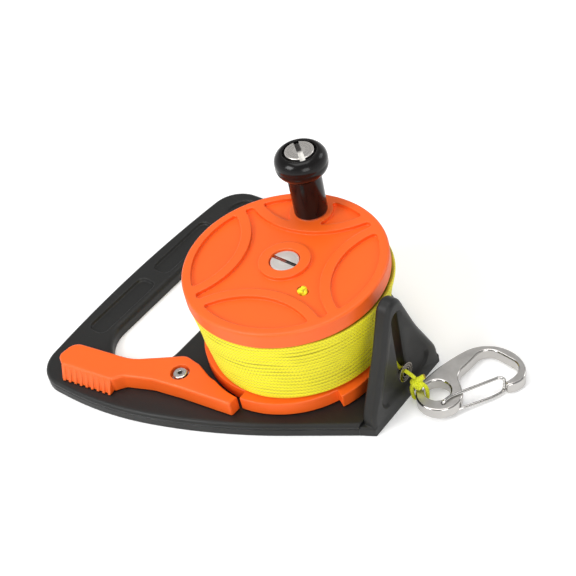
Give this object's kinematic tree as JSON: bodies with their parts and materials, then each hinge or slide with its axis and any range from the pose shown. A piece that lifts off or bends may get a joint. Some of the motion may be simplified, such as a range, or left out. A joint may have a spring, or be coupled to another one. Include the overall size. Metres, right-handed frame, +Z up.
{
  "type": "dive reel",
  "caption": "Hand-held dive reel: open frame with hand hole, orange spool of braided yellow line with knob, ratchet and thumb lever, line guide, snap hook.",
  "frame": {"origin": "on the spool's axis, on the flat underside of the frame that the reel lies on", "axes": "+Z up along the spool's axis, +X towards the line guide, +Y away from the thumb lever"},
  "size_m": [0.2355, 0.1736, 0.1058],
  "materials": {
    "frame_plastic": "satin moulded",
    "orange_plastic": "satin moulded",
    "drum_plastic": "moulded",
    "knob_plastic": "glossy",
    "bush_plastic": "turned",
    "stainless": "satin stainless",
    "hook_steel": "polished cast stainless",
    "spring_wire": "drawn wire",
    "line_cord": "braided"
  },
  "bodies": {
    "frame_body": {"frame": "frame_plastic", "line_guide": "frame_plastic", "guide_screws": "stainless", "spindle_bolt": "stainless", "spindle_sleeve": "stainless", "spindle_nut": "stainless", "head_washer": "stainless", "thrust_washer": "bush_plastic", "lever_sleeve": "stainless", "lever_spacer": "stainless", "lever_washer": "stainless", "lever_screw": "stainless", "lever_nut": "stainless", "lever_spring": "spring_wire", "stop_washer": "stainless", "line_lead": "line_cord"},
    "spool": {"spool_drum": "drum_plastic", "spool_flange": "orange_plastic", "spool_ratchet": "orange_plastic", "spool_screws": "stainless", "upper_bush": "bush_plastic", "lower_bush": "bush_plastic", "line_core": "line_cord", "line_winding": "line_cord", "line_end_knot": "line_cord", "knob_bolt": "stainless", "knob_sleeve": "stainless", "knob_washer": "bush_plastic", "knob_nut": "stainless"},
    "knob": {"knob_grip": "knob_plastic"},
    "lever": {"thumb_lever": "orange_plastic"},
    "hook": {"hook_body": "hook_steel", "line_knot": "line_cord", "line_loop": "line_cord"},
    "gate": {"hook_gate": "spring_wire"}
  },
  "joints": [
    {"name": "spool_spin", "type": "hinge", "parent": "frame_body", "child": "spool", "pos_m": [0, 0, 0], "axis": [0, 0, 1], "continuous": true},
    {"name": "knob_spin", "type": "hinge", "parent": "spool", "child": "knob", "pos_m": [-0.01023, 0.03639, 0], "axis": [0, 0, 1], "continuous": true},
    {"name": "lever_pivot", "type": "hinge", "parent": "frame_body", "child": "lever", "pos_m": [-0.0383, -0.0536, 0], "axis": [0, 0, 1], "range_deg": [-9, 7], "stiffness_Nm_per_rad": 0.03, "springref_deg": 20.05},
    {"name": "hook_swing", "type": "hinge", "parent": "frame_body", "child": "hook", "pos_m": [0.071, 0.0018, 0.013], "axis": [0, 0, 1], "range_deg": [-68, 15]},
    {"name": "gate_pivot", "type": "hinge", "parent": "hook", "child": "gate", "pos_m": [0.08638, -0.00108, 0.00196], "axis": [0.0195, 0.036, 0.9992], "range_deg": [0, 18], "stiffness_Nm_per_rad": 0.04, "springref_deg": -14.32}
  ]
}
